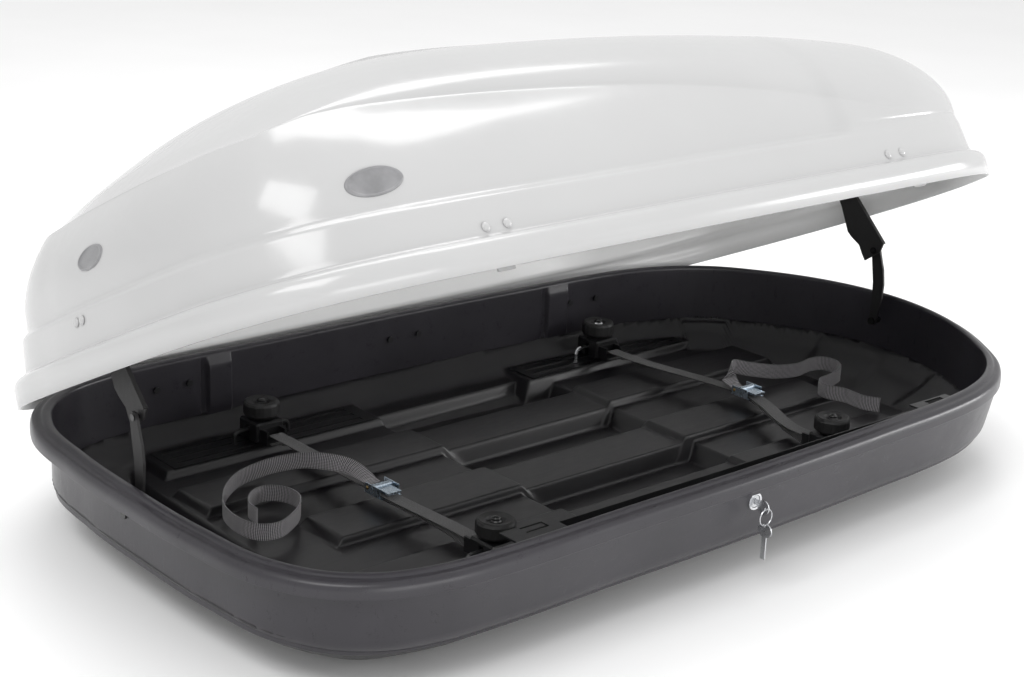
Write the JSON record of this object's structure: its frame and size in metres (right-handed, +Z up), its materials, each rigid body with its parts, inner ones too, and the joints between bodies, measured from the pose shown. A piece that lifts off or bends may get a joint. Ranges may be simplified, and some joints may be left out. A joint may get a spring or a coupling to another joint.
{
  "type": "roof cargo box",
  "caption": "Hard roof cargo box with its lid open: hinged white lid on folding stays, black tub, knob clamps for roof bars, webbing straps with cam buckles, and a keyed lock.",
  "frame": {"origin": "centre of the tub's underside, Z = 0 at its lowest outer face", "axes": "+X towards the box's tail, +Y towards the hinge side, +Z up; the lid is stored open"},
  "size_m": [1.596, 0.9338, 0.7166],
  "materials": {
    "tub_abs": "satin black thermoformed ABS",
    "lid_abs": "high gloss white ABS",
    "plate_steel": "black powder coat",
    "clamp_moulding": "satin black",
    "knob_moulding": "fine grained black",
    "bright_steel": "bright zinc or nickel plate",
    "black_steel": "black coated steel",
    "stay_moulding": "satin black nylon",
    "buckle_zinc": "blue-white zinc plate",
    "webbing": "ribbed black webbing"
  },
  "bodies": {
    "tub": {"tub_shell": "tub_abs", "slot_plate_far_nose": "plate_steel", "slot_plate_far_tail": "plate_steel", "slot_plate_near_nose": "plate_steel", "slot_plate_near_tail": "plate_steel", "clamp_body_far_nose": "clamp_moulding", "clamp_body_far_tail": "clamp_moulding", "clamp_body_near_nose": "clamp_moulding", "clamp_body_near_tail": "clamp_moulding", "hinge_tub_leaf_nose": "black_steel", "hinge_tub_leaf_mid": "black_steel", "hinge_tub_leaf_tail": "black_steel", "hinge_pin_nose": "bright_steel", "hinge_pin_mid": "bright_steel", "hinge_pin_tail": "bright_steel", "stay_bolt_nose": "bright_steel", "stay_bolt_tail": "bright_steel", "lock_escutcheon": "bright_steel", "tub_catch_nose": "black_steel", "tub_catch_tail": "black_steel", "cargo_strap_nose": "webbing", "cargo_strap_tail": "webbing", "strap_tail_nose": "webbing", "strap_tail_tail": "webbing", "buckle_frame_nose": "buckle_zinc", "buckle_frame_tail": "buckle_zinc"},
    "lid": {"lid_shell": "lid_abs", "hinge_lid_leaf_nose": "black_steel", "hinge_lid_leaf_mid": "black_steel", "hinge_lid_leaf_tail": "black_steel", "stay_lid_bracket_nose": "black_steel", "stay_lid_bracket_tail": "black_steel", "lid_catch_nose": "black_steel", "lid_catch_tail": "black_steel"},
    "lock_barrel": {"lock_barrel": "bright_steel", "key": "bright_steel"},
    "slide_bar": {"lock_slide_bar": "black_steel"},
    "key_ring": {"key_ring": "bright_steel", "spare_key": "bright_steel"},
    "stay_lower_nose": {"stay_lower_nose": "stay_moulding", "stay_knee_pin_nose": "bright_steel"},
    "stay_upper_nose": {"stay_upper_nose": "stay_moulding"},
    "stay_lower_tail": {"stay_lower_tail": "stay_moulding", "stay_knee_pin_tail": "bright_steel"},
    "stay_upper_tail": {"stay_upper_tail": "stay_moulding"},
    "knob_far_nose": {"clamp_knob_far_nose": "knob_moulding", "clamp_stud_far_nose": "bright_steel"},
    "claw_far_nose": {"clamp_claw_far_nose": "bright_steel"},
    "knob_far_tail": {"clamp_knob_far_tail": "knob_moulding", "clamp_stud_far_tail": "bright_steel"},
    "claw_far_tail": {"clamp_claw_far_tail": "bright_steel"},
    "knob_near_nose": {"clamp_knob_near_nose": "knob_moulding", "clamp_stud_near_nose": "bright_steel"},
    "claw_near_nose": {"clamp_claw_near_nose": "bright_steel"},
    "knob_near_tail": {"clamp_knob_near_tail": "knob_moulding", "clamp_stud_near_tail": "bright_steel"},
    "claw_near_tail": {"clamp_claw_near_tail": "bright_steel"},
    "cam_lever_nose": {"cam_lever_nose": "buckle_zinc"},
    "cam_lever_tail": {"cam_lever_tail": "buckle_zinc"}
  },
  "joints": [
    {"name": "lid_hinge", "type": "hinge", "parent": "tub", "child": "lid", "pos_m": [0, 0.4172, 0.1435], "axis": [1, 0, 0], "range_deg": [0, 25.85]},
    {"name": "stay_foot_nose", "type": "hinge", "parent": "tub", "child": "stay_lower_nose", "pos_m": [-0.745, 0.034, 0.125], "axis": [1, 0, 0], "range_deg": [0, 59.5]},
    {"name": "stay_knee_nose", "type": "hinge", "parent": "stay_lower_nose", "child": "stay_upper_nose", "pos_m": [-0.745, 0.04, 0.256], "axis": [1, 0, 0], "range_deg": [-97.2, 0]},
    {"name": "stay_foot_tail", "type": "hinge", "parent": "tub", "child": "stay_lower_tail", "pos_m": [0.7405, 0.022, 0.125], "axis": [1, 0, 0], "range_deg": [0, 59.5]},
    {"name": "stay_knee_tail", "type": "hinge", "parent": "stay_lower_tail", "child": "stay_upper_tail", "pos_m": [0.7405, 0.028, 0.256], "axis": [1, 0, 0], "range_deg": [-99.2, 0]},
    {"name": "lock_turn", "type": "hinge", "parent": "tub", "child": "lock_barrel", "pos_m": [-0.055, -0.41, 0.131], "axis": [0, 1, 0], "range_deg": [0, 90.2]},
    {"name": "lock_bar_slide", "type": "slide", "parent": "tub", "child": "slide_bar", "axis": [1, 0, 0], "range_m": [0, 0.01]},
    {"name": "key_ring_swing", "type": "hinge", "parent": "lock_barrel", "child": "key_ring", "pos_m": [-0.055, -0.4544, 0.1265], "axis": [1, 0, 0], "range_deg": [-20, 8]},
    {"name": "knob_turn_far_nose", "type": "hinge", "parent": "tub", "child": "knob_far_nose", "pos_m": [-0.357, 0.334, 0.095], "axis": [0, 0, 1], "range_deg": [-720, 720]},
    {"name": "claw_lift_far_nose", "type": "slide", "parent": "tub", "child": "claw_far_nose", "axis": [0, 0, 1], "range_m": [-0.00251, 0.00251]},
    {"name": "knob_turn_far_tail", "type": "hinge", "parent": "tub", "child": "knob_far_tail", "pos_m": [0.362, 0.335, 0.095], "axis": [0, 0, 1], "range_deg": [-720, 720]},
    {"name": "claw_lift_far_tail", "type": "slide", "parent": "tub", "child": "claw_far_tail", "axis": [0, 0, 1], "range_m": [-0.00251, 0.00251]},
    {"name": "knob_turn_near_nose", "type": "hinge", "parent": "tub", "child": "knob_near_nose", "pos_m": [-0.35, -0.23, 0.095], "axis": [0, 0, 1], "range_deg": [-720, 720]},
    {"name": "claw_lift_near_nose", "type": "slide", "parent": "tub", "child": "claw_near_nose", "axis": [0, 0, 1], "range_m": [-0.00251, 0.00251]},
    {"name": "knob_turn_near_tail", "type": "hinge", "parent": "tub", "child": "knob_near_tail", "pos_m": [0.343, -0.232, 0.095], "axis": [0, 0, 1], "range_deg": [-720, 720]},
    {"name": "claw_lift_near_tail", "type": "slide", "parent": "tub", "child": "claw_near_tail", "axis": [0, 0, 1], "range_m": [-0.00251, 0.00251]},
    {"name": "cam_lift_nose", "type": "hinge", "parent": "tub", "child": "cam_lever_nose", "pos_m": [-0.357, 0.019, 0.071], "axis": [1, 0, 0], "range_deg": [-80, 0]},
    {"name": "cam_lift_tail", "type": "hinge", "parent": "tub", "child": "cam_lever_tail", "pos_m": [0.4, 0.004, 0.071], "axis": [1, 0, 0], "range_deg": [-80, 0]}
  ],
  "couplings": [
    {"joint": "stay_foot_nose", "follows": "lid_hinge", "ratio": 2.2964},
    {"joint": "stay_knee_nose", "follows": "lid_hinge", "ratio": -3.7538},
    {"joint": "stay_foot_tail", "follows": "lid_hinge", "ratio": 2.287},
    {"joint": "stay_knee_tail", "follows": "lid_hinge", "ratio": -3.8304},
    {"joint": "lock_turn", "follows": "lock_bar_slide", "rad_per_m": 157.08},
    {"joint": "claw_lift_far_nose", "follows": "knob_turn_far_nose", "m_per_rad": 0.00019894},
    {"joint": "claw_lift_far_tail", "follows": "knob_turn_far_tail", "m_per_rad": 0.00019894},
    {"joint": "claw_lift_near_nose", "follows": "knob_turn_near_nose", "m_per_rad": 0.00019894},
    {"joint": "claw_lift_near_tail", "follows": "knob_turn_near_tail", "m_per_rad": 0.00019894}
  ]
}
